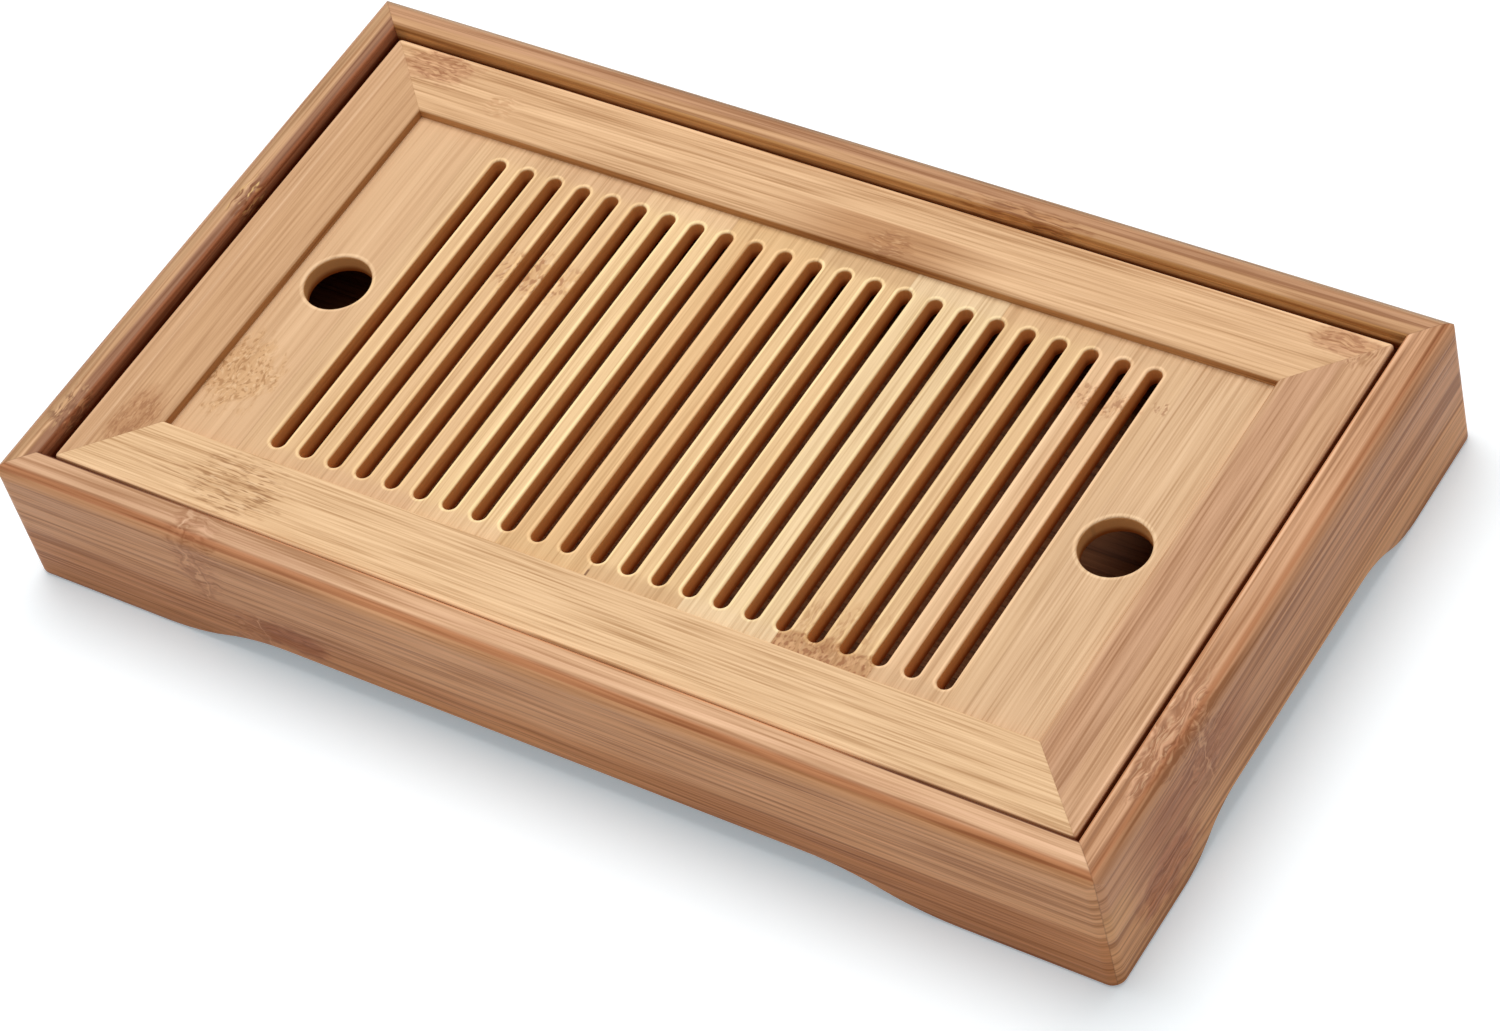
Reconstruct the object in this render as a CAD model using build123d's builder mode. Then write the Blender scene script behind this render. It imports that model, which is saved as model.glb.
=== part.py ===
"""Gongfu tea tray: a mitred bamboo water box with a slotted grille that lifts out.

Millimetres. The origin is at the centre of the rectangle that the tray stands on, +Z is up,
+X runs along the tray and -Y is its front. The script builds each piece where it sits in the
closed tray and writes one STEP file per piece into parts/.
"""
from build123d import *
import os

# Driving dimensions of the water box
tray_length = 270.0
tray_width = 152.0
tray_height = 35.0
wall_thickness = 8.0
corner_radius = 3.0  # upright edges of the box, seen from above
rim_outer_radius = 3.3
rim_inner_radius = 0.8
foot_edge_radius = 1.0  # lower outside edge, along the feet and the arches

# The arch that lifts the middle of each side off the table, and the feet it leaves
arch_height = 6.0
long_side_foot = 36.0
long_side_sweep = 35.0  # length of the S-curve from a foot up to the arch
short_side_foot = 26.0
short_side_sweep = 23.0

# Base board, let into a groove in the four rails
base_underside = 7.0
base_thickness = 5.0
base_groove_depth = 4.0
base_edge_clearance = 0.4

# Ledges that carry the grille
ledge_width = 6.0

# Splines in the mitres of the box
box_spline_thickness = 2.5
box_spline_width = 6.0
box_spline_inset = 2.0  # above the base board, and below the ledges' top

# Grille frame
grille_side_gap = 1.25  # between the grille and the front and back rails
grille_end_gap = 1.9  # between the grille and the left and right rails
rim_reveal = 2.0  # height of the rim above the grille
grille_thickness = 10.0
grille_rail_width = 17.5
grille_corner_radius = 1.0
grille_edge_radius = 0.8
grille_inner_edge_radius = 0.6

# Splines in the mitres of the grille
grille_spline_thickness = 3.0
grille_spline_depth = 5.0  # along the mitre
grille_spline_width = 9.0  # across the mitre

# Slotted panel
panel_recess = 2.3  # below the top of the grille's rails
panel_thickness = 4.5
panel_tongue = 4.65  # how far the panel runs into the rails' grooves
panel_tongue_thickness = 2.5  # the panel has a shoulder above and below its tongue
panel_groove_clearance = 0.4  # at the end of the tongue
strip_count = 10
slots_per_strip = 3
slot_width = 3.4
slot_end_margin = 4.8  # from a slot's end to the rail
slot_edge_radius = 0.6
hole_diameter = 15.2
hole_end_margin = 10.9  # from the hole's centre to the rail
hole_slot_margin = 3.5  # least wood between the hole and the nearest slot
hole_edge_radius = 0.6

cut_overrun = 1.0  # how far every cut runs past the surface it starts from

# Worked out from the sizes above
box_inner_length = tray_length - 2 * wall_thickness
box_inner_width = tray_width - 2 * wall_thickness
base_top = base_underside + base_thickness
grille_top = tray_height - rim_reveal
grille_underside = grille_top - grille_thickness
grille_length = box_inner_length - 2 * grille_end_gap
grille_width = box_inner_width - 2 * grille_side_gap
panel_view_length = grille_length - 2 * grille_rail_width
panel_view_width = grille_width - 2 * grille_rail_width
panel_top = grille_top - panel_recess
panel_underside = panel_top - panel_thickness
tongue_underside = panel_top - (panel_thickness + panel_tongue_thickness) / 2
panel_length = panel_view_length + 2 * panel_tongue
panel_width = panel_view_width + 2 * panel_tongue
strip_width = panel_length / strip_count
slot_pitch = strip_width / slots_per_strip
slot_length = panel_view_width - 2 * slot_end_margin
hole_x = panel_view_length / 2 - hole_end_margin
last_slot_limit = hole_x - hole_diameter / 2 - hole_slot_margin - slot_width / 2
slots_each_side = int(last_slot_limit // slot_pitch)
slot_centres = [slot_pitch * number for number in range(-slots_each_side, slots_each_side + 1)]

os.makedirs("parts", exist_ok=True)


def write(piece, name):
    """Names a finished piece and writes it to its STEP file."""
    piece.label = name
    export_step(piece, f"parts/{name}.step")


def mitred_sides(length, width, rail_width):
    """Outlines that cut a frame of this size into its four mitred sides."""
    out_x = length / 2 + cut_overrun
    out_y = width / 2 + cut_overrun
    in_x = length / 2 - rail_width - cut_overrun
    in_y = width / 2 - rail_width - cut_overrun
    return {
        "front": [(-out_x, -out_y), (out_x, -out_y), (in_x, -in_y), (-in_x, -in_y)],
        "back": [(out_x, out_y), (-out_x, out_y), (-in_x, in_y), (in_x, in_y)],
        "left": [(-out_x, out_y), (-out_x, -out_y), (-in_x, -in_y), (-in_x, in_y)],
        "right": [(out_x, -out_y), (out_x, out_y), (in_x, in_y), (in_x, -in_y)],
    }


def mitre_places(length, width, inset, height):
    """A place on each mitre, this far in from both outer faces, turned square to the mitre."""
    x = length / 2 - inset
    y = width / 2 - inset
    return [
        Location((x, y, height), (0, 0, 45)),
        Location((-x, y, height), (0, 0, 135)),
        Location((-x, -y, height), (0, 0, 225)),
        Location((x, -y, height), (0, 0, 315)),
    ]


def arch_gap(side_length, foot, sweep):
    """The gap under one side: up an S-curve of two equal arcs, along, and down again."""
    foot_end = side_length / 2 - foot
    arch_end = foot_end - sweep
    middle = foot_end - sweep / 2
    with BuildSketch() as gap:
        with BuildLine():
            right_foot = Line((foot_end, -cut_overrun), (foot_end, 0))
            rise = TangentArc((foot_end, 0), (middle, arch_height / 2), tangent=(-1, 0))
            crest = TangentArc(rise @ 1, (arch_end, arch_height), tangent=rise % 1)
            top = Line(crest @ 1, (-arch_end, arch_height))
            fall = TangentArc(top @ 1, (-middle, arch_height / 2), tangent=(-1, 0))
            landing = TangentArc(fall @ 1, (-foot_end, 0), tangent=fall % 1)
            left_foot = Line(landing @ 1, (-foot_end, -cut_overrun))
            Line(left_foot @ 1, right_foot @ 0)
        make_face()
    return gap.sketch


# The four rails of the box start as one ring, so that their edges meet at the mitres. The rim is
# rounded while the corners are still sharp, so that its rounds meet in a crease at each mitre.
box_spline_height = grille_underside - base_top - 2 * box_spline_inset
box_spline_places = mitre_places(
    tray_length, tray_width, wall_thickness / 2, base_top + box_spline_inset + box_spline_height / 2
)
long_arch = arch_gap(tray_length, long_side_foot, long_side_sweep)
short_arch = arch_gap(tray_width, short_side_foot, short_side_sweep)
with BuildPart() as box_ring:
    with BuildSketch():
        Rectangle(tray_length, tray_width)
        Rectangle(box_inner_length, box_inner_width, mode=Mode.SUBTRACT)
    extrude(amount=tray_height)
    with BuildSketch(Plane.XZ):
        add(long_arch)
    extrude(amount=tray_width / 2 + cut_overrun, both=True, mode=Mode.SUBTRACT)
    with BuildSketch(Plane.YZ):
        add(short_arch)
    extrude(amount=tray_length / 2 + cut_overrun, both=True, mode=Mode.SUBTRACT)

    rim = box_ring.faces().sort_by(Axis.Z)[-1]
    fillet(rim.outer_wire().edges(), rim_outer_radius)
    rim = box_ring.faces().sort_by(Axis.Z)[-1]
    fillet(rim.inner_wires()[0].edges(), rim_inner_radius)
    with BuildSketch():
        RectangleRounded(tray_length, tray_width, corner_radius)
    extrude(amount=tray_height, mode=Mode.INTERSECT)

    outer_sides = [
        box_ring.faces().sort_by(Axis.X)[0],
        box_ring.faces().sort_by(Axis.X)[-1],
        box_ring.faces().sort_by(Axis.Y)[0],
        box_ring.faces().sort_by(Axis.Y)[-1],
    ]
    rounded_corners = box_ring.faces().filter_by(
        lambda face: face.geom_type == GeomType.CYLINDER and face.bounding_box().size.Z > tray_height / 2
    )
    low_edges = ShapeList(
        edge
        for face in [*outer_sides, *rounded_corners]
        for edge in face.edges()
        if edge.bounding_box().max.Z < arch_height + foot_edge_radius / 2
    )
    fillet(low_edges, foot_edge_radius)

    with BuildSketch(Plane.XY.offset(base_underside)):
        Rectangle(box_inner_length + 2 * base_groove_depth, box_inner_width + 2 * base_groove_depth)
    extrude(amount=base_thickness, mode=Mode.SUBTRACT)
    with Locations(*box_spline_places):
        Box(box_spline_thickness, box_spline_width, box_spline_height, mode=Mode.SUBTRACT)

for side, outline in mitred_sides(tray_length, tray_width, wall_thickness).items():
    with BuildPart() as rail:
        add(box_ring.part)
        with BuildSketch():
            Polygon(*outline, align=None)
        extrude(amount=tray_height, mode=Mode.INTERSECT)
    write(rail.part, f"{side}_rail")

with BuildPart() as box_corner_splines:
    with Locations(*box_spline_places):
        Box(box_spline_thickness, box_spline_width, box_spline_height)
write(box_corner_splines.part, "box_corner_splines")

# The base board slides into the rails' grooves with a little room at its edges
with BuildPart() as base_board:
    with BuildSketch(Plane.XY.offset(base_underside)):
        board_reach = 2 * (base_groove_depth - base_edge_clearance)
        Rectangle(box_inner_length + board_reach, box_inner_width + board_reach)
    extrude(amount=base_thickness)
write(base_board.part, "base_board")

# Ledges stand on the base board against the rails, the long pair from end to end
for name, sign in (("front_ledge", -1), ("back_ledge", 1)):
    with BuildPart() as long_ledge:
        with BuildSketch(Plane.XY.offset(base_top)):
            with Locations((0, sign * (box_inner_width - ledge_width) / 2)):
                Rectangle(box_inner_length, ledge_width)
        extrude(amount=grille_underside - base_top)
    write(long_ledge.part, name)

for name, sign in (("left_ledge", -1), ("right_ledge", 1)):
    with BuildPart() as short_ledge:
        with BuildSketch(Plane.XY.offset(base_top)):
            with Locations((sign * (box_inner_length - ledge_width) / 2, 0)):
                Rectangle(ledge_width, box_inner_width - 2 * ledge_width)
        extrude(amount=grille_underside - base_top)
    write(short_ledge.part, name)

# The frame of the grille is made like the box: one grooved ring, cut at its mitres
grille_spline_places = mitre_places(
    grille_length,
    grille_width,
    (grille_rail_width - panel_tongue - panel_groove_clearance) / 2,
    grille_underside + grille_thickness / 2,
)
with BuildPart() as grille_ring:
    with BuildSketch(Plane.XY.offset(grille_underside)):
        RectangleRounded(grille_length, grille_width, grille_corner_radius)
        Rectangle(panel_view_length, panel_view_width, mode=Mode.SUBTRACT)
    extrude(amount=grille_thickness)
    frame_top = grille_ring.faces().sort_by(Axis.Z)[-1]
    fillet(frame_top.outer_wire().edges(), grille_edge_radius)
    frame_top = grille_ring.faces().sort_by(Axis.Z)[-1]
    fillet(frame_top.inner_wires()[0].edges(), grille_inner_edge_radius)
    with BuildSketch(Plane.XY.offset(tongue_underside)):
        Rectangle(panel_length + 2 * panel_groove_clearance, panel_width + 2 * panel_groove_clearance)
    extrude(amount=panel_tongue_thickness, mode=Mode.SUBTRACT)
    with Locations(*grille_spline_places):
        Box(grille_spline_depth, grille_spline_width, grille_spline_thickness, mode=Mode.SUBTRACT)

for side, outline in mitred_sides(grille_length, grille_width, grille_rail_width).items():
    with BuildPart() as grille_rail:
        add(grille_ring.part)
        with BuildSketch(Plane.XY.offset(grille_underside)):
            Polygon(*outline, align=None)
        extrude(amount=grille_thickness, mode=Mode.INTERSECT)
    write(grille_rail.part, f"grille_{side}_rail")

with BuildPart() as grille_corner_splines:
    with Locations(*grille_spline_places):
        Box(grille_spline_depth, grille_spline_width, grille_spline_thickness)
write(grille_corner_splines.part, "grille_corner_splines")

# The panel is slotted and drilled in one piece, then shown as the strips it is glued from
with BuildPart() as panel:
    with BuildSketch(Plane.XY.offset(panel_underside)):
        Rectangle(panel_view_length, panel_view_width)
    extrude(amount=panel_thickness)
    with BuildSketch(Plane.XY.offset(tongue_underside)):
        Rectangle(panel_length, panel_width)
    extrude(amount=panel_tongue_thickness)
    with BuildSketch(Plane.XY.offset(panel_underside - cut_overrun)):
        with Locations(*[(x, 0) for x in slot_centres]):
            SlotOverall(slot_length, slot_width, rotation=90)
    extrude(amount=panel_thickness + 2 * cut_overrun, mode=Mode.SUBTRACT)
    slot_walls = panel.faces().sort_by(Axis.Z)[-1].inner_wires()
    fillet([edge for wire in slot_walls for edge in wire.edges()], slot_edge_radius)
    with Locations((-hole_x, 0, panel_top), (hole_x, 0, panel_top)):
        Hole(hole_diameter / 2, panel_thickness)
    hole_rims = panel.faces().sort_by(Axis.Z)[-1].edges().filter_by(GeomType.CIRCLE)
    fillet(hole_rims.filter_by(lambda edge: edge.radius > slot_width), hole_edge_radius)

for number in range(strip_count):
    with BuildPart() as panel_strip:
        add(panel.part)
        with BuildSketch(Plane.XY.offset(panel_underside)):
            with Locations((strip_width * (number + 0.5) - panel_length / 2, 0)):
                Rectangle(strip_width, panel_width)
        extrude(amount=panel_thickness, mode=Mode.INTERSECT)
    write(panel_strip.part, f"panel_strip_{number + 1:02d}")
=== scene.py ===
"""The look of the gongfu tea tray: bamboo finishes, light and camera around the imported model.

Metres, in the model's own frame: +X runs along the tray, -Y is its front and +Z is up.
Sizes inside the finishes are in millimetres, because wood is read in millimetres.
"""

import bpy
from mathutils import Matrix

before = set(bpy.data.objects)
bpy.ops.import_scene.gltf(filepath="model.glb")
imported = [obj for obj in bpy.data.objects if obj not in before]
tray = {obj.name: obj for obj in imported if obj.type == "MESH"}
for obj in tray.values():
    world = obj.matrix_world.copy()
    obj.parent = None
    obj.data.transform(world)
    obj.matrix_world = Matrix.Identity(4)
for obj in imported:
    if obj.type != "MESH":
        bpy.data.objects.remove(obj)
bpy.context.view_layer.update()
bpy.ops.object.select_all(action="DESELECT")


# The four rails of the water box: caramel bamboo on edge, mitred and glued, with a rounded rim and
# arched feet, rubbed with a thin satin varnish. Their inner faces are darkened below the grille with
# painted shade. The bamboo itself is worked out here, because the rails are the first to need it.
def tone(red, green, blue):
    """A colour given as it is seen on a screen, 0 to 255, turned into the light a surface gives back."""
    light = []
    for part in (red, green, blue):
        part = part / 255
        light.append(part / 12.92 if part <= 0.04045 else ((part + 0.055) / 1.055) ** 2.4)
    return (*light, 1.0)


def shaded(colour, red, green, blue):
    """The colour with each of its three parts made weaker or stronger."""
    return (min(colour[0] * red, 1.0), min(colour[1] * green, 1.0), min(colour[2] * blue, 1.0), 1.0)


class Bamboo:
    """A bamboo finish in the making: places on the piece in millimetres, and the colour so far."""

    def __init__(self, name, grain, seed):
        self.material = bpy.data.materials.new(name)
        self.material.use_nodes = True
        self.tree = self.material.node_tree
        self.shader = self.tree.nodes["Principled BSDF"]
        self.grain = "XYZ".index(grain)
        self.seed = seed
        self.draws = 0
        in_metres = self.tree.nodes.new("ShaderNodeTexCoord").outputs["Object"]
        self.place = self.vector("SCALE", in_metres, scale=1000.0)
        # where the fibres are read, which growth nodes and corners shift
        self.flow = self.place
        parts = self.tree.nodes.new("ShaderNodeSeparateXYZ")
        self.tree.links.new(self.place, parts.inputs[0])
        self.x, self.y, self.z = parts.outputs
        turned = self.tree.nodes.new("ShaderNodeSeparateXYZ")
        self.tree.links.new(self.tree.nodes.new("ShaderNodeNewGeometry").outputs["Normal"], turned.inputs[0])
        self.facing_up = turned.outputs[2]
        self.middle = None
        self.colour = None
        self.height = 0.0

    def feed(self, socket, source):
        """Gives a socket a number or colour of its own, or links it to another node."""
        if isinstance(source, bpy.types.NodeSocket):
            self.tree.links.new(source, socket)
        else:
            socket.default_value = source

    def sum(self, operation, *values):
        """One step of arithmetic."""
        step = self.tree.nodes.new("ShaderNodeMath")
        step.operation = operation
        for socket, source in zip(step.inputs, values):
            self.feed(socket, source)
        return step.outputs[0]

    def vector(self, operation, *values, scale=None):
        """One step of arithmetic on a place or a direction."""
        step = self.tree.nodes.new("ShaderNodeVectorMath")
        step.operation = operation
        for socket, source in zip(step.inputs, values):
            self.feed(socket, source)
        if scale is not None:
            self.feed(step.inputs["Scale"], scale)
        return step.outputs["Value"] if operation == "LENGTH" else step.outputs[0]

    def ease(self, value, start, end):
        """0 at the start, 1 at the end, with a soft step between them."""
        step = self.tree.nodes.new("ShaderNodeMapRange")
        step.interpolation_type = "SMOOTHSTEP"
        self.feed(step.inputs["Value"], value)
        rising = start < end
        step.inputs["From Min"].default_value = min(start, end)
        step.inputs["From Max"].default_value = max(start, end)
        step.inputs["To Min"].default_value = 0.0 if rising else 1.0
        step.inputs["To Max"].default_value = 1.0 if rising else 0.0
        return step.outputs["Result"]

    def between(self, value, low, high, soft):
        """1 between two values, 0 outside them, softened over this much at both ends."""
        return self.both(self.ease(value, low - soft, low + soft), self.ease(value, high + soft, high - soft))

    def both(self, first, second):
        """Where both of two masks hold."""
        return self.sum("MULTIPLY", first, second)

    def either(self, first, second):
        """Where at least one of two masks holds."""
        return self.sum("MAXIMUM", first, second)

    def cloud(self, along, across, detail=2.0, roughness=0.5, at=None, colour=False):
        """Soft random patches of about this length along the grain, and this width across it."""
        # every draw reads the noise at a place of its own
        self.draws += 1
        size = [1 / across] * 3
        size[self.grain] = 1 / along
        shift = [self.seed * 7.31 + self.draws * 3.7, self.seed * 3.13 + self.draws * 9.1, self.seed * 5.77]
        spot = self.vector("MULTIPLY_ADD", self.flow if at is None else at, size, shift)
        noise = self.tree.nodes.new("ShaderNodeTexNoise")
        noise.inputs["Scale"].default_value = 1.0
        noise.inputs["Detail"].default_value = detail
        noise.inputs["Roughness"].default_value = roughness
        self.tree.links.new(spot, noise.inputs["Vector"])
        return noise.outputs["Color"] if colour else noise.outputs["Fac"]

    def wobble(self, value, reach, along, across):
        """The value, pushed to and fro by up to about this much, so that an edge isn't straight."""
        push = self.sum("SUBTRACT", self.cloud(along, across, 1.0, at=self.place), 0.5)
        return self.sum("MULTIPLY_ADD", push, 3.0 * reach, value)

    def growth_node(self, centre, reach, wave=1.2, ragged=0.9):
        """A growth node of the cane: its fibres run in waves inside this oval. Returns the oval."""
        off = self.vector("SUBTRACT", self.place, centre)
        off = self.vector("MULTIPLY", off, [1 / part for part in reach])
        uneven = self.sum("SUBTRACT", self.cloud(4.0, 2.0, at=self.place), 0.5)
        far = self.sum("MULTIPLY_ADD", uneven, ragged, self.vector("LENGTH", off))
        oval = self.ease(far, 1.0, 0.45)
        swirl = self.cloud(7.0, 4.5, 1.0, at=self.place, colour=True)
        swirl = self.vector("SUBTRACT", swirl, (0.5, 0.5, 0.5))
        swirl = self.vector("SCALE", swirl, scale=self.sum("MULTIPLY", oval, 4 * wave))
        self.flow = self.vector("ADD", self.flow, swirl)
        return oval

    def fibres(self, middle, slow=0.6, bands=0.8, threads=1.6, fine=1.6, streaks=0.3):
        """Lays down the fibres, from slow changes of tone to fine threads, and dark streaks over them."""
        self.middle = middle
        dark_fibre = shaded(middle, 0.66, 0.56, 0.46)
        pale_fibre = shaded(middle, 1.20, 1.26, 1.34)
        layers = [
            # length and width of the marks, and how strongly they show
            (220, 9, slow),
            (150, 3, bands),
            (64, 1.1, threads),
            (26, 0.5, fine),
        ]
        mixed = 0.5
        for along, across, strength in layers:
            wave = self.sum("SUBTRACT", self.cloud(along, across, 1.0), 0.5)
            mixed = self.sum("MULTIPLY_ADD", wave, strength, mixed)
        ramp = self.tree.nodes.new("ShaderNodeValToRGB")
        ramp.color_ramp.elements[0].color = dark_fibre
        ramp.color_ramp.elements[1].color = pale_fibre
        ramp.color_ramp.elements.new(0.5).color = middle
        self.tree.links.new(mixed, ramp.inputs["Fac"])
        self.colour = ramp.outputs["Color"]
        dark = self.ease(self.cloud(60.0, 0.6, 1.0), 0.57, 0.70)
        self.stain(self.sum("MULTIPLY", dark, streaks), shaded(middle, 0.55, 0.43, 0.33))
        self.height = self.sum("SUBTRACT", mixed, self.sum("MULTIPLY", dark, 0.5))

    def lay(self, amount, colour, blend):
        """Lays a colour over the wood, in one of the ways to blend."""
        mix = self.tree.nodes.new("ShaderNodeMix")
        mix.data_type = "RGBA"
        mix.blend_type = blend
        # inputs 6 and 7 take the two colours, and output 2 gives the blended one
        self.feed(mix.inputs[0], amount)
        self.feed(mix.inputs[6], self.colour)
        self.feed(mix.inputs[7], colour)
        self.colour = mix.outputs[2]

    def stain(self, amount, colour):
        """Covers the wood with a colour, as strongly as the amount says."""
        self.lay(amount, colour, "MIX")

    def toward(self, amount, colour, strength=1.0):
        """Shifts the wood from its middle tone toward another one, and keeps its grain."""
        change = [new / old for new, old in zip(colour[:3], self.middle[:3])]
        if strength != 1.0:
            amount = self.sum("MULTIPLY", amount, strength)
        self.lay(amount, (*change, 1.0), "MULTIPLY")

    def flecks(self, oval, dark, pale, strength=1.0, length=2.4, width=0.6):
        """The dark and pale flecks of a growth node, where cut fibres end in the surface."""
        low = self.ease(self.cloud(length, width, 1.0), 0.50, 0.62)
        high = self.ease(self.cloud(length, width * 0.9, 1.0), 0.55, 0.66)
        self.stain(self.sum("MULTIPLY", self.both(oval, low), strength), dark)
        self.stain(self.sum("MULTIPLY", self.both(oval, high), 0.7 * strength), pale)

    def ridge(self, oval, value, centre, dark, pale, strength=1.0):
        """The wavy ridge across a growth node: a pale crooked line with a dark one on either side."""
        off = self.wobble(self.sum("SUBTRACT", value, centre), 2.2, 2.6, 2.6)
        crest = self.both(oval, self.between(off, -0.35, 0.35, 0.3))
        trough = self.both(oval, self.between(self.sum("ABSOLUTE", off), 1.0, 2.0, 0.4))
        self.stain(self.sum("MULTIPLY", trough, 0.55 * strength), dark)
        self.stain(self.sum("MULTIPLY", crest, 0.75 * strength), pale)

    def groove(self, mask, depth):
        """Sinks the surface a little, as along a glue line."""
        self.height = self.sum("SUBTRACT", self.height, self.sum("MULTIPLY", mask, depth))

    def varnish(self, roughness=0.46):
        """Finishes the wood: satin varnish, a little duller in patches, over fibres that can be felt."""
        patches = self.sum("SUBTRACT", self.cloud(25.0, 2.5), 0.5)
        dull = self.sum("MULTIPLY_ADD", patches, 0.35, roughness)
        bump = self.tree.nodes.new("ShaderNodeBump")
        bump.inputs["Strength"].default_value = 0.35
        bump.inputs["Distance"].default_value = 0.00012  # in metres
        self.feed(bump.inputs["Height"], self.height)
        self.tree.links.new(self.colour, self.shader.inputs["Base Color"])
        self.tree.links.new(dull, self.shader.inputs["Roughness"])
        self.tree.links.new(bump.outputs["Normal"], self.shader.inputs["Normal"])
        self.shader.inputs["Specular IOR Level"].default_value = 0.15
        return self.material


def dress(piece, material):
    """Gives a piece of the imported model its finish."""
    tray[piece].data.materials[0] = material


half_length = 135.0
half_width = 76.0
box_height = 35.0
corner_round = 3.0
corner_offset = half_length - half_width  # the mitres of the box run where |x| - |y| has this value
rail_thickness = 8.0
layer_height = 15.5  # where the two layers of bamboo in a rail meet
painted_shade_top = 32.8  # how far up painted shade darkens the inner faces
painted_shade_inside = (0.44, 0.20, 0.08, 1.0)


def rail(piece, grain, seed):
    """Starts a rail: its wood, and how far a point lies in from the rail's outer face."""
    wood = Bamboo(piece, grain, seed)
    if grain == "X":
        across, half_across, outward = wood.y, half_width, (0, 1, 0)
        along, half_along = wood.x, half_length
    else:
        across, half_across, outward = wood.x, half_length, (1, 0, 0)
        along, half_along = wood.y, half_width
    inward = wood.sum("SUBTRACT", half_across, wood.sum("ABSOLUTE", across))
    # round the upright corners the fibres keep their heights, up to the mitre
    corner_start = half_along - corner_round
    near_corner = wood.ease(wood.sum("ABSOLUTE", along), corner_start - 0.5, corner_start)
    below_rim = wood.ease(wood.z, box_height - 2.4, box_height - 3.4)
    bend = wood.both(wood.both(near_corner, below_rim), inward)
    bend = wood.both(bend, wood.sum("SIGN", across))
    wood.flow = wood.vector("ADD", wood.flow, wood.vector("SCALE", outward, scale=bend))
    return wood, inward


def lower_layer(wood, colour, strength=1.0):
    """Shades the lower layer of a rail. Returns the uneven height that the edge of it follows."""
    height = wood.wobble(wood.z, 0.5, 70.0, 30.0)
    wood.toward(wood.ease(height, layer_height + 3.0, layer_height - 2.5), colour, strength)
    return height


def finish_rail(piece, wood, inward, rim, joint_strength, painted_highlight=None):
    """What all four rails share: the paler flat top of the rim, a painted highlight where one is given,
    painted shade on the inner faces, and the glued mitres.
    """
    at_top = wood.ease(wood.z, box_height - 1.0, box_height - 0.2)
    wood.toward(wood.both(wood.ease(wood.facing_up, 0.90, 0.99), at_top), rim)
    # a painted highlight, where a rail is given one
    if painted_highlight is not None:
        wood.toward(painted_highlight, shaded(wood.middle, 1.25, 1.32, 1.4))
    # painted shade on the inner faces below the grille, where the gap is dark
    inner_face = wood.ease(inward, rail_thickness - 0.3, rail_thickness - 0.05)
    wood.lay(wood.both(inner_face, wood.ease(wood.z, painted_shade_top, painted_shade_top - 2.0)), painted_shade_inside, "MULTIPLY")
    foot = wood.ease(wood.z, 2.6, 0.4)
    wood.toward(foot, tone(196, 132, 84), 0.8)
    under = wood.ease(wood.facing_up, -0.3, -0.8)
    wood.toward(under, tone(190, 130, 90), 0.7)
    offset = wood.sum("SUBTRACT", wood.sum("ABSOLUTE", wood.x), wood.sum("ABSOLUTE", wood.y))
    joint = wood.between(offset, corner_offset - 0.12, corner_offset + 0.12, 0.2)
    wood.stain(wood.sum("MULTIPLY", joint, joint_strength), tone(112, 70, 44))
    wood.groove(joint, 1.0)
    dress(piece, wood.varnish())


# Front rail: a darker layer below, two crooked columns of growth nodes near its left end, and an
# orange line along the rounded edge, partly a stain and partly painted shade across the round. The
# gap to the grille is a hairline. Along the middle a painted highlight lightens the rail's inner edge,
# and toward both ends, where the gap would open wider, painted shadow darkens it.
wood, inward = rail("front_rail", "X", 1.0)
upper_node = wood.growth_node((-82, -72, 27), (9, 9, 17), wave=0.9)
lower_node = wood.growth_node((-72, -72, 9), (7, 9, 10), wave=0.9)
smudge = wood.growth_node((-61, -76, 12), (12, 4, 5), wave=0.6)
wood.fibres(tone(219, 160, 113), slow=0.25, bands=0.5, threads=1.9, fine=1.4, streaks=0.1)
layer_edge = lower_layer(wood, tone(203, 138, 87))
right_end = wood.ease(wood.x, 20, 60)
left_end = wood.ease(wood.x, -30, -60)
below_line = wood.ease(layer_edge, layer_height + 0.1, layer_height - 0.5)
wood.toward(wood.both(below_line, right_end), tone(207, 148, 104), 0.8)
glue_line = wood.between(layer_edge, layer_height - 0.2, layer_height + 0.2, 0.3)
wood.toward(wood.both(glue_line, right_end), tone(160, 104, 64), 0.7)
wood.toward(left_end, tone(206, 149, 106), 0.8)
wood.toward(wood.both(left_end, wood.ease(wood.z, 20, 14)), tone(218, 160, 116), 0.8)
dark, pale = tone(168, 108, 68), tone(226, 170, 126)
wood.toward(smudge, tone(180, 112, 70), 0.8)
for oval, centre in ((upper_node, -83.0), (lower_node, -72.0)):
    wood.toward(oval, tone(204, 142, 98), 0.6)
    wood.flecks(oval, dark, pale, 0.4, 2.6, 0.9)
    leaning = wood.sum("MULTIPLY_ADD", wood.z, -0.25, centre + 6)
    wood.ridge(oval, wood.x, leaning, dark, pale)
long_threads = [
    # heights of long dark threads, and where they run
    (20.6, 21.0, -30, 30), (18.4, 18.8, -12, 44), (25.4, 25.7, -40, -4),
    (17.6, 17.9, 62, 110), (29.0, 29.3, 20, 100), (23.0, 23.3, 40, 120),
    (27.2, 27.5, -120, -96), (12.4, 12.7, 60, 118), (9.4, 9.7, -20, 50),
]
for low, high, from_x, to_x in long_threads:
    thread = wood.between(wood.wobble(wood.z, 0.3, 40.0, 20.0), low, high, 0.25)
    wood.toward(wood.both(thread, wood.between(wood.x, from_x, to_x, 12)), tone(176, 118, 78), 0.8)
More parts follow.
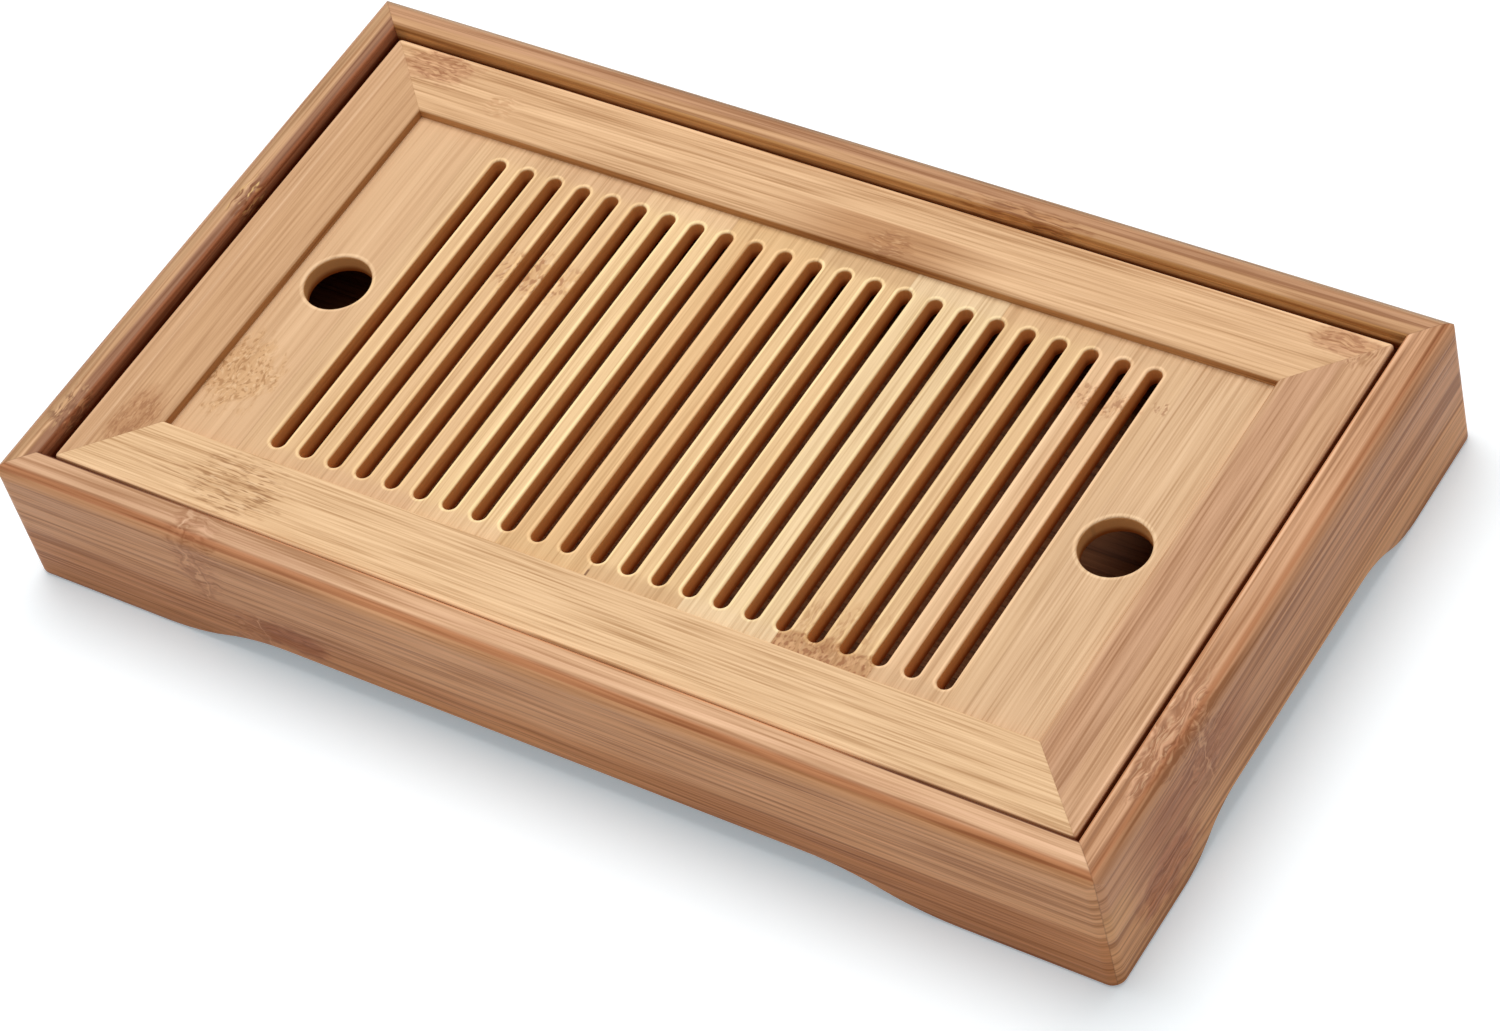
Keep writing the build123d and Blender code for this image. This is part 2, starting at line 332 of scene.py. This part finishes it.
# the orange line along the rounded edge: partly a stain, partly painted shade that sets the brightness across
# the round
rounding = wood.ease(wood.z, box_height - 3.5, box_height - 2.5)
wood.toward(wood.both(rounding, wood.between(wood.facing_up, 0.70, 0.975, 0.03)), tone(198, 134, 90))
wood.toward(wood.both(rounding, wood.between(wood.facing_up, 0.72, 0.80, 0.04)), tone(205, 146, 102), 0.8)
wood.toward(wood.between(inward, 3.8, 5.2, 0.4), tone(228, 168, 122), 0.6)
# painted shadow on the rail's inner edge toward both ends, and a painted highlight along its middle
gap_edge = wood.both(wood.ease(inward, rail_thickness - 0.8, rail_thickness - 0.4),
                     wood.ease(wood.z, box_height - 1.2, box_height - 0.8))
near_ends = wood.either(wood.ease(wood.x, -62, -108), wood.ease(wood.x, 64, 86))
wood.stain(wood.both(gap_edge, near_ends), tone(84, 36, 14))
in_middle = wood.both(wood.ease(wood.x, -100, -60), wood.ease(wood.x, 80, 60))
painted_highlight = wood.both(gap_edge, in_middle)
finish_rail("front_rail", wood, inward, tone(219, 172, 131), 0.4, painted_highlight)

# Back rail: warmer, with painted light making its inner edge that faces the grille golden, a dark cluster
# of streaks low on that edge, and painted shade on the rounding on the outside.
wood, inward = rail("back_rail", "X", 2.0)
knot = wood.growth_node((38, 69, 34), (20, 3, 4), wave=0.5)
wood.fibres(tone(205, 150, 106), slow=0.6, bands=1.2, threads=1.9, fine=1.4, streaks=0.25)
lower_layer(wood, tone(192, 134, 90), 0.8)
wood.toward(wood.ease(inward, 4.6, 5.6), tone(216, 162, 112))
# painted light: the inner edge that faces the grille is made golden
wood.toward(wood.ease(inward, 7.2, 7.9), tone(228, 168, 108))
upper_wall = wood.both(wood.ease(inward, 7.2, 7.6), wood.ease(wood.z, 33.2, 34.3))
wood.toward(upper_wall, tone(164, 114, 76))
wood.toward(knot, tone(186, 124, 78), 0.7)
wood.flecks(knot, tone(140, 84, 48), tone(222, 168, 116), 0.7, 7.0, 0.5)
# painted shade on the outer rounding, darker toward the outer edge
outer_edge = wood.both(wood.ease(inward, 3.0, 1.7), wood.ease(wood.z, 32.5, 33.5))
wood.toward(outer_edge, tone(166, 128, 93))
finish_rail("back_rail", wood, inward, tone(190, 141, 103), 0.3)

# Left rail: dark along its inner edge, with a golden swirl of growth node halfway, a mottled one
# near the front corner, and painted shade on the rounding on the outside.
wood, inward = rail("left_rail", "Y", 3.0)
knot = wood.growth_node((-128.6, 11, 34), (3.2, 8, 6), wave=1.0)
low_knot = wood.growth_node((-129, -56, 34), (4, 9, 6), wave=0.8)
wood.fibres(tone(202, 148, 106), slow=0.6, bands=1.0, threads=1.8, fine=1.4, streaks=0.25)
lower_layer(wood, tone(190, 132, 90), 0.8)
inner_edge = wood.wobble(inward, 0.5, 60.0, 20.0)
wood.toward(wood.ease(inner_edge, 5.1, 6.1), tone(152, 100, 70))
wood.toward(wood.ease(inward, 7.5, 8.0), tone(236, 168, 118))
wood.flecks(knot, tone(130, 76, 44), tone(240, 188, 122), 1.0, 4.6, 0.9)
wood.flecks(low_knot, tone(128, 80, 52), tone(206, 152, 106), 0.8, 2.6, 0.7)
# painted shade on the outer rounding
outer_edge = wood.both(wood.ease(inward, 4.7, 3.6), wood.ease(wood.z, 32.5, 33.5))
wood.toward(outer_edge, tone(182, 132, 92))
finish_rail("left_rail", wood, inward, tone(208, 162, 120), 0.35)

# Right rail: reddish, boldly streaked, with a crooked ridge and dark smudges toward the front, an
# orange line along its rounded edge, partly a stain and partly painted shade across the round, and a
# painted highlight on its inner rounded edge.
wood, inward = rail("right_rail", "Y", 4.0)
knot = wood.growth_node((131, -40, 34), (5, 20, 5), wave=1.2)
column = wood.growth_node((135, -35, 28), (4, 9, 14), wave=1.4)
smudge = wood.growth_node((135, -53, 11), (4, 15, 9), wave=0.8)
wood.fibres(tone(201, 144, 103), slow=0.4, bands=1.1, threads=3.0, fine=1.5, streaks=0.2)
wood.toward(wood.ease(wood.z, 18.0, 10.0), tone(211, 152, 104))
dark, pale = tone(162, 104, 70), tone(222, 168, 126)
around = wood.both(wood.between(wood.y, -60, -22, 8), wood.between(wood.z, 19, 30, 3))
wood.toward(around, tone(180, 118, 80), 0.9)
wood.flecks(around, dark, pale, 0.4, 7.0, 0.9)
wood.toward(smudge, tone(176, 112, 76))
bright_patch = wood.both(wood.between(wood.y, -78, -66, 4), wood.between(wood.z, 15, 23, 2))
wood.toward(bright_patch, tone(216, 160, 110), 0.8)
wood.flecks(smudge, dark, pale, 0.35, 3.4, 0.9)
wood.flecks(column, dark, pale, 0.5, 3.0, 0.8)
wood.toward(knot, tone(190, 130, 92), 0.7)
wood.flecks(knot, tone(154, 98, 64), tone(230, 180, 136), 0.6, 6.0, 0.6)
wood.ridge(column, wood.y, -34.5, dark, pale, 0.9)
thread = wood.between(wood.wobble(wood.z, 0.3, 26.0, 20.0), 17.6, 18.0, 0.3)
thread = wood.both(thread, wood.ease(wood.y, 60, 68))
wood.toward(thread, tone(150, 98, 64), 0.8)
# the orange line along the rounded edge: partly a stain, partly painted shade that sets the brightness across
# the round
rounding = wood.ease(wood.z, box_height - 3.5, box_height - 2.5)
wood.toward(wood.both(rounding, wood.between(wood.facing_up, 0.82, 0.985, 0.04)), tone(182, 122, 82))
wood.toward(wood.both(rounding, wood.between(wood.facing_up, 0.15, 0.75, 0.08)), tone(190, 136, 98), 0.8)
wood.toward(wood.between(inward, 5.7, 6.3, 0.25), tone(180, 126, 88), 0.7)
# a painted highlight on the inner rounded edge, which faces the light
painted_highlight = wood.both(wood.between(inward, 6.8, 7.6, 0.25), wood.ease(wood.facing_up, 0.3, 0.7))
finish_rail("right_rail", wood, inward, tone(210, 160, 120), 0.4, painted_highlight)


# The base board: plain brown bamboo glued from narrow laths, let into grooves in the rails.
# Its upper side is darker. It is seen through the finger holes, and from underneath.
lath_width = 20.0
board_top_darkening = (0.42, 0.31, 0.23, 1.0)
wood = Bamboo("base_board", "X", 11.0)
wood.fibres(tone(184, 134, 94), slow=0.8, bands=1.6, threads=2.0, fine=1.6, streaks=0.5)
laths = wood.sum("DIVIDE", wood.y, lath_width)
seam = wood.between(wood.sum("FRACT", laths), 0.492, 0.508, 0.006)
lath = wood.sum("FLOOR", wood.sum("ADD", laths, 0.5))
# the number of a lath gives it a chance tone of its own
chance = wood.sum("SINE", wood.sum("MULTIPLY", lath, 12.9898))
chance = wood.sum("FRACT", wood.sum("MULTIPLY", chance, 43.7))
wood.toward(chance, tone(156, 108, 72), 0.7)
wood.stain(wood.sum("MULTIPLY", seam, 0.6), tone(92, 58, 36))
wood.groove(seam, 1.0)
wood.lay(wood.ease(wood.z, 8.0, 11.0), board_top_darkening, "MULTIPLY")
dress("base_board", wood.varnish(0.6))


# Splines in the mitres, hidden in the joints, and the ledges that carry the grille: offcuts of
# the same bamboo, planed and glued, and left without varnish. The ledges' darker tones are painted shade.
offcuts = {
    # grain, middle tone and seed
    "box_corner_splines": ("Z", tone(196, 152, 112), 12.0),
    "front_ledge": ("X", tone(150, 104, 70), 13.0),
    "back_ledge": ("X", tone(146, 100, 66), 14.0),
    "left_ledge": ("Y", tone(144, 98, 64), 15.0),
    "right_ledge": ("Y", tone(148, 102, 68), 16.0),
    "grille_corner_splines": ("Z", tone(206, 164, 122), 17.0),
}
for piece, (grain, middle, seed) in offcuts.items():
    wood = Bamboo(piece, grain, seed)
    wood.fibres(middle)
    dress(piece, wood.varnish(0.62))


# The grille's frame: four mitred rails of honey-coloured bamboo, each one strip wide, so that the
# growth nodes show across them. Their tones differ partly at random and partly as painted sheen, by
# the way the grain runs. The eased top edges carry a painted highlight, the sides in the gap painted
# shade, and the inner edges painted shade where they step down to the panel.
grille_half_length = 125.1
grille_half_width = 66.75
grille_top = 33.0
frame_rail_width = 17.5
# tea and painted shade: painted shade over the sides in the gap and the feet of the slot walls, and darker
# undersides
tea_and_painted_shade = (0.45, 0.23, 0.10, 1.0)


def finish_frame_rail(piece, wood, highlight_strength, joint_strength=0.3):
    """What the four rails of the frame share: painted highlight on the top edges, painted shade on the sides
    and at the step to the panel, a darker underside, glued mitres.
    """
    beyond_x = wood.sum("SUBTRACT", wood.sum("ABSOLUTE", wood.x), grille_half_length)
    beyond_y = wood.sum("SUBTRACT", wood.sum("ABSOLUTE", wood.y), grille_half_width)
    beyond = wood.sum("MAXIMUM", beyond_x, beyond_y)
    # painted highlight on the eased top edges
    painted_highlight = wood.both(wood.ease(beyond, -1.4, -0.7), wood.ease(wood.z, grille_top - 1.0, grille_top - 0.6))
    wood.toward(painted_highlight, shaded(wood.middle, 1.25, 1.32, 1.42), highlight_strength)
    # painted shade on the sides, in the gap to the box
    painted_side_shade = wood.both(wood.ease(beyond, -0.4, -0.1), wood.ease(wood.z, grille_top - 0.7, grille_top - 1.4))
    wood.lay(painted_side_shade, tea_and_painted_shade, "MULTIPLY")
    wood.lay(wood.ease(wood.facing_up, -0.3, -0.8), tea_and_painted_shade, "MULTIPLY")
    # painted shade where the rail steps down to the panel
    by_panel = wood.ease(beyond, 0.4 - frame_rail_width, 0.1 - frame_rail_width)
    step_down = wood.both(by_panel, wood.ease(wood.facing_up, 0.6, 0.2))
    wood.toward(step_down, shaded(wood.middle, 0.74, 0.60, 0.42))
    offset = wood.sum("SUBTRACT", beyond_x, beyond_y)
    joint = wood.between(offset, -0.1, 0.1, 0.15)
    wood.stain(wood.sum("MULTIPLY", joint, joint_strength), shaded(wood.middle, 0.5, 0.4, 0.3))
    wood.groove(joint, 0.8)
    dress(piece, wood.varnish())


# Front rail of the frame: the palest, with a broad, faint growth node near its left end. The edge
# along the gap to the box is darkened toward both ends with painted shadow.
wood = Bamboo("grille_front_rail", "X", 21.0)
knot = wood.growth_node((-81.5, -58, 33), (15, 10, 9), wave=0.12)
wood.fibres(tone(229, 188, 142), slow=0.1, bands=0.15, threads=0.7, fine=1.8, streaks=0.15)
wood.toward(knot, tone(216, 172, 125), 0.6)
wood.flecks(knot, tone(158, 110, 68), tone(244, 206, 162), 0.75, 4.2, 0.5)
smear = wood.both(wood.between(wood.x, -106, -84, 8), wood.between(wood.y, -61.3, -56.3, 1.5))
wood.flecks(smear, tone(172, 124, 82), tone(236, 198, 152), 0.6, 9.0, 0.5)
# painted shadow along the gap's edge toward both ends
gap_edge = wood.both(wood.ease(wood.y, 0.65 - grille_half_width, 0.15 - grille_half_width),
                     wood.ease(wood.z, grille_top - 0.05, grille_top - 0.3))
near_ends = wood.either(wood.ease(wood.x, -70, -112), wood.ease(wood.x, 70, 92))
wood.stain(wood.sum("MULTIPLY", wood.both(gap_edge, near_ends), 0.7), tone(120, 70, 36))
finish_frame_rail("grille_front_rail", wood, 0.35, 0.2)

# Back rail of the frame: growth nodes at both ends, a pale one beside the left of them, and one
# halfway, in a browner band along the panel.
wood = Bamboo("grille_back_rail", "X", 22.0)
knot = wood.growth_node((13.3, 52.7, 33), (7, 4.5, 9), wave=0.5)
small_knot = wood.growth_node((-89.7, 56.7, 33), (6, 4, 9), wave=0.6)
left_knot = wood.growth_node((-110.7, 62.2, 33), (12, 6, 9), wave=0.6)
right_knot = wood.growth_node((115.5, 63.4, 33), (9, 5, 9), wave=0.7)
wood.fibres(tone(221, 177, 132), slow=1.1, bands=0.9, threads=1.4, fine=1.4, streaks=0.2)
inner_band = wood.both(wood.ease(wood.y, 58.3, 57.8), wood.between(wood.x, -8, 32, 14))
wood.toward(inner_band, tone(184, 134, 90), 0.95)
wood.toward(knot, tone(206, 158, 112), 0.7)
wood.flecks(knot, tone(158, 106, 68), tone(226, 180, 132), 0.6, 2.4, 0.6)
wood.flecks(small_knot, tone(206, 156, 112), tone(246, 206, 160), 0.5, 2.2, 0.8)
for oval, strength in ((left_knot, 0.65), (right_knot, 0.6)):
    wood.toward(oval, tone(194, 140, 100), 0.7)
    wood.flecks(oval, tone(160, 104, 68), tone(238, 190, 142), strength, 3.0, 0.7)
finish_frame_rail("grille_back_rail", wood, 0.8, 0.1)

# Left rail of the frame: an outer layer that a pale and a dark line run through, and a brown
# growth node at either end. The front one shows in the inner layer alone.
wood = Bamboo("grille_left_rail", "Y", 23.0)
low_knot = wood.growth_node((-114.7, -51.3, 33), (7, 11, 9), wave=0.3)
high_knot = wood.growth_node((-113.7, 61.7, 33), (7, 6, 9), wave=0.8)
wood.fibres(tone(207, 162, 119), slow=0.6, bands=0.3, threads=0.7, fine=1.0, streaks=0.12)
outer_layer = wood.ease(wood.x, -119.1, -119.6)
wood.toward(outer_layer, tone(205, 160, 118))
wood.toward(wood.between(wood.x, -121.2, -120.6, 0.3), tone(230, 188, 146), 0.7)
wood.toward(wood.between(wood.x, -120.3, -119.9, 0.3), tone(190, 142, 100), 0.6)
low_knot = wood.both(low_knot, wood.ease(wood.x, -119.6, -119.1))
wood.toward(low_knot, tone(186, 136, 94), 0.9)
wood.flecks(low_knot, tone(160, 108, 70), tone(220, 174, 130), 0.6, 2.0, 0.6)
wood.toward(high_knot, tone(194, 144, 106), 0.6)
wood.flecks(high_knot, tone(166, 114, 78), tone(230, 184, 140), 0.5, 2.6, 0.7)
finish_frame_rail("grille_left_rail", wood, 0.7, 0.2)

# Right rail of the frame: the brownest, paler toward both of its long edges, with a growth node in
# its back corner.
wood = Bamboo("grille_right_rail", "Y", 24.0)
high_knot = wood.growth_node((119.3, 62.7, 33), (6, 6, 9), wave=1.0)
wood.fibres(tone(201, 154, 117), slow=0.3, bands=0.3, threads=0.9, fine=1.6, streaks=0.12)
wood.toward(wood.ease(wood.x, 116.8, 118.8), tone(208, 162, 122))
wood.toward(wood.ease(wood.x, 109.4, 108.6), tone(216, 172, 132), 0.8)
front_part = wood.both(wood.ease(wood.x, 114.3, 111.3), wood.ease(wood.y, 20, -50))
wood.toward(front_part, tone(192, 142, 104), 0.6)
wood.flecks(high_knot, tone(166, 114, 80), tone(232, 186, 142), 0.7, 2.8, 0.7)
finish_frame_rail("grille_right_rail", wood, 0.9)


# The slotted panel: ten strips glued edge to edge, each with its own tone, routed with slots and
# drilled with two finger holes. The routed walls are browner than the sanded top, with painted shade
# at their foot. The rims of the cuts carry a painted highlight, and the bars between the slots are paler.
strip_width = 22.45
slot_pitch = strip_width / 3
slot_half_width = 1.7
slot_straight = 42.75  # half the length of a slot's straight sides
slotted_half_length = 86.5
slotted_half_width = 46.0
hole_centre = 96.7
hole_radius = 7.6
strips = [
    # tone at the front end, and on the bars between the slots
    (tone(222, 180, 137), tone(222, 180, 137)), (tone(219, 178, 134), tone(226, 185, 137)),
    (tone(219, 177, 134), tone(226, 184, 136)), (tone(232, 193, 147), tone(238, 200, 149)),
    (tone(223, 182, 131), tone(226, 183, 131)), (tone(215, 175, 128), tone(230, 191, 140)),
    (tone(235, 203, 159), tone(236, 203, 155)), (tone(222, 181, 135), tone(227, 187, 138)),
    (tone(220, 180, 137), tone(226, 184, 140)), (tone(221, 181, 139), tone(221, 181, 139)),
]
# slow changes, bands, threads and fine fibres, where they differ from the other strips
grains = {1: (0.2, 0.3, 0.5, 0.5), 10: (0.2, 0.3, 0.55, 1.3)}


def distance(wood, across, along):
    """How far away something is that lies this far off in both directions."""
    across = wood.sum("MULTIPLY", across, across)
    along = wood.sum("MULTIPLY", along, along)
    return wood.sum("SQRT", wood.sum("ADD", across, along))


for number, (end_tone, bar_tone) in enumerate(strips, start=1):
    piece = f"panel_strip_{number:02d}"
    wood = Bamboo(piece, "Y", 30.0 + number)
    if number == 1:
        curls = wood.growth_node((-102.5, -30, 31), (13, 12, 9), wave=0.8, ragged=1.6)
    elif number == 3:
        curls = wood.growth_node((-55.6, 18, 31), (14, 8, 9), wave=0.6)
    elif number == 8:
        front_node = wood.between(wood.wobble(wood.y, 1.6, 3.0, 3.0), -60.0, -43.2, 0.9)
        above = wood.growth_node((56, -40, 31), (13, 9, 9), wave=0.8)
    elif number == 9:
        curls = wood.growth_node((76, 32.5, 31), (10, 5, 9), wave=0.6)
        spots = wood.growth_node((87.8, 35.2, 31), (3.4, 2.4, 9), wave=0.4)
    slow, bands, threads, fine = grains.get(number, (0.3, 0.3, 0.6, 0.9))
    wood.fibres(end_tone, slow=slow, bands=bands, threads=threads, fine=fine, streaks=0.1)
    side_to_side = wood.sum("ABSOLUTE", wood.x)
    front_to_back = wood.sum("ABSOLUTE", wood.y)
    bars = wood.both(wood.ease(side_to_side, slotted_half_length, slotted_half_length - 3.5),
                     wood.ease(front_to_back, slotted_half_width, slotted_half_width - 3.5))
    wood.toward(bars, bar_tone)

    # growth nodes
    pale = tone(242, 204, 160)
    if number == 1:
        wood.toward(curls, tone(214, 168, 120), 0.8)
        wood.flecks(curls, tone(166, 116, 70), pale, 0.65, 1.5, 0.85)
    elif number == 3:
        wood.toward(curls, tone(210, 162, 116), 0.7)
        wood.flecks(curls, tone(164, 106, 68), pale, 0.7, 2.2, 1.3)
    elif number == 8:
        wood.toward(front_node, tone(196, 149, 103), 0.95)
        wood.flecks(front_node, tone(152, 94, 54), tone(228, 180, 132), 0.7, 1.6, 1.0)
        wood.toward(above, tone(214, 170, 122), 0.7)
        wood.flecks(above, tone(176, 122, 78), pale, 0.45, 3.0, 0.9)
    elif number == 9:
        wood.toward(curls, tone(212, 166, 122), 0.7)
        wood.flecks(curls, tone(168, 114, 78), pale, 0.6, 1.6, 1.1)
        wood.flecks(spots, tone(160, 106, 72), pale, 0.6, 1.2, 0.9)

    # rims of the slots and of the finger holes, with a painted highlight
    beside_slot = wood.sum("PINGPONG", wood.x, slot_pitch / 2)
    past_end = wood.sum("MAXIMUM", wood.sum("SUBTRACT", front_to_back, slot_straight), 0.0)
    from_slot = distance(wood, beside_slot, past_end)
    slot_rim = wood.both(wood.between(from_slot, slot_half_width + 0.1, slot_half_width + 0.8, 0.25),
                         wood.ease(side_to_side, slotted_half_length - 0.9, slotted_half_length - 1.3))
    hole_across = wood.sum("SUBTRACT", side_to_side, hole_centre)
    from_hole = distance(wood, hole_across, wood.y)
    hole_rim = wood.between(from_hole, hole_radius + 0.05, hole_radius + 0.9, 0.25)
    rim_highlight = wood.both(wood.either(slot_rim, hole_rim), wood.ease(wood.facing_up, 0.3, 0.7))
    wood.toward(rim_highlight, shaded(bar_tone if 1 < number < 10 else end_tone, 1.2, 1.27, 1.33))

    # walls of the cuts, with painted shade at their foot, and the underside
    wall = wood.ease(wood.sum("ABSOLUTE", wood.facing_up), 0.6, 0.15)
    wood.stain(wood.sum("MULTIPLY", wall, 0.85), tone(235, 160, 86))
    hole_wall = wood.both(wall, wood.ease(from_hole, hole_radius + 1.0, hole_radius + 0.6))
    wood.stain(wood.sum("MULTIPLY", hole_wall, 0.8), tone(240, 178, 112))
    # painted shade at the foot of the walls
    wood.lay(wood.both(wall, wood.ease(wood.z, 28.3, 26.4)), tea_and_painted_shade, "MULTIPLY")
    wood.lay(wood.ease(wood.facing_up, -0.3, -0.8), tea_and_painted_shade, "MULTIPLY")

    # glue lines on both sides of the strip, and a short open split in the middle one
    from_seam = wood.sum("PINGPONG", wood.sum("ADD", wood.x, 5 * strip_width), strip_width)
    seam = wood.either(wood.ease(from_seam, 0.3, 0.1),
                       wood.ease(from_seam, strip_width - 0.3, strip_width - 0.1))
    wood.stain(wood.sum("MULTIPLY", seam, 0.2), shaded(end_tone, 0.5, 0.4, 0.3))
    wood.groove(seam, 0.6)
    if number in (5, 6):
        split = wood.both(wood.ease(side_to_side, 0.35, 0.15), wood.between(wood.y, -49.5, -46.4, 0.4))
        wood.stain(wood.sum("MULTIPLY", split, 0.8), tone(116, 74, 46))
    dress(piece, wood.varnish())


# Floor, light and camera. The floor is a plain pale sheet that looks white and keeps the shadow.
# One wide lamp hangs above and behind the tray, and pale light comes from all around.
floor_size = 8.0
floor_lift = 0.27  # a little cool light of its own, which makes the floor look white
bpy.ops.mesh.primitive_plane_add(size=floor_size, location=(0, 0, 0))
floor = bpy.context.object
floor.name = "floor"


def seen_directly(tree):
    """1 for a look from the camera, or one mirrored or passed on by a surface, and 0 for light."""
    path = tree.nodes.new("ShaderNodeLightPath")
    seen = path.outputs["Is Camera Ray"]
    for name in ("Is Glossy Ray", "Is Transmission Ray"):
        most = tree.nodes.new("ShaderNodeMath")
        most.operation = "MAXIMUM"
        tree.links.new(seen, most.inputs[0])
        tree.links.new(path.outputs[name], most.inputs[1])
        seen = most.outputs[0]
    return seen


sheet = bpy.data.materials.new("floor_sheet")
sheet.use_nodes = True
tree = sheet.node_tree
tree.nodes.remove(tree.nodes["Principled BSDF"])
pale_side = tree.nodes.new("ShaderNodeBsdfDiffuse")
pale_side.inputs["Color"].default_value = (0.85, 0.85, 0.86, 1)
white_side = tree.nodes.new("ShaderNodeBsdfDiffuse")
white_side.inputs["Color"].default_value = (0.95, 0.95, 0.95, 1)
lift = tree.nodes.new("ShaderNodeEmission")
lift.inputs["Color"].default_value = (0.70, 0.90, 1.0, 1)
lift.inputs["Strength"].default_value = floor_lift
lifted = tree.nodes.new("ShaderNodeAddShader")
tree.links.new(white_side.outputs[0], lifted.inputs[0])
tree.links.new(lift.outputs[0], lifted.inputs[1])
choose = tree.nodes.new("ShaderNodeMixShader")
tree.links.new(seen_directly(tree), choose.inputs[0])
tree.links.new(pale_side.outputs[0], choose.inputs[1])
tree.links.new(lifted.outputs[0], choose.inputs[2])
tree.links.new(choose.outputs[0], tree.nodes["Material Output"].inputs["Surface"])
floor.data.materials.append(sheet)

room_light = 0.36
room = bpy.data.worlds.new("room")
bpy.context.scene.world = room
room.use_nodes = True
tree = room.node_tree
glow = tree.nodes["Background"]
glow.inputs["Color"].default_value = (1, 1, 1, 1)
level = tree.nodes.new("ShaderNodeMapRange")
level.inputs["To Min"].default_value = room_light
level.inputs["To Max"].default_value = 1.0
tree.links.new(seen_directly(tree), level.inputs["Value"])
tree.links.new(level.outputs["Result"], glow.inputs["Strength"])

lamp_size = 1.7
lamp_place = (-0.35, 0.42, 1.75)
lamp_power = 27.0
bpy.ops.object.light_add(type="AREA", location=lamp_place)
lamp = bpy.context.object
lamp.name = "wide_lamp"
lamp.data.shape = "DISK"
lamp.data.size = lamp_size
lamp.data.energy = lamp_power
turn = (-lamp.location).to_track_quat("-Z", "Y")
lamp.rotation_euler = turn.to_euler()

bpy.ops.object.camera_add()
camera = bpy.context.object
camera.name = "camera"
# the camera's own three directions, and where it stands
right = (0.83467, 0.51594, -0.19269)
up = (-0.29269, 0.71191, 0.63837)
back = (0.46654, -0.47644, 0.74522)
eye = (0.4736, -0.4810, 0.7495)
camera.matrix_world = Matrix([*zip(right, up, back, eye), (0, 0, 0, 1)])
camera.data.sensor_width = 36.0
camera.data.lens = 114.24
camera.data.clip_start = 0.05
camera.data.clip_end = 20.0
bpy.context.scene.camera = camera
bpy.context.scene.view_settings.view_transform = "Standard"
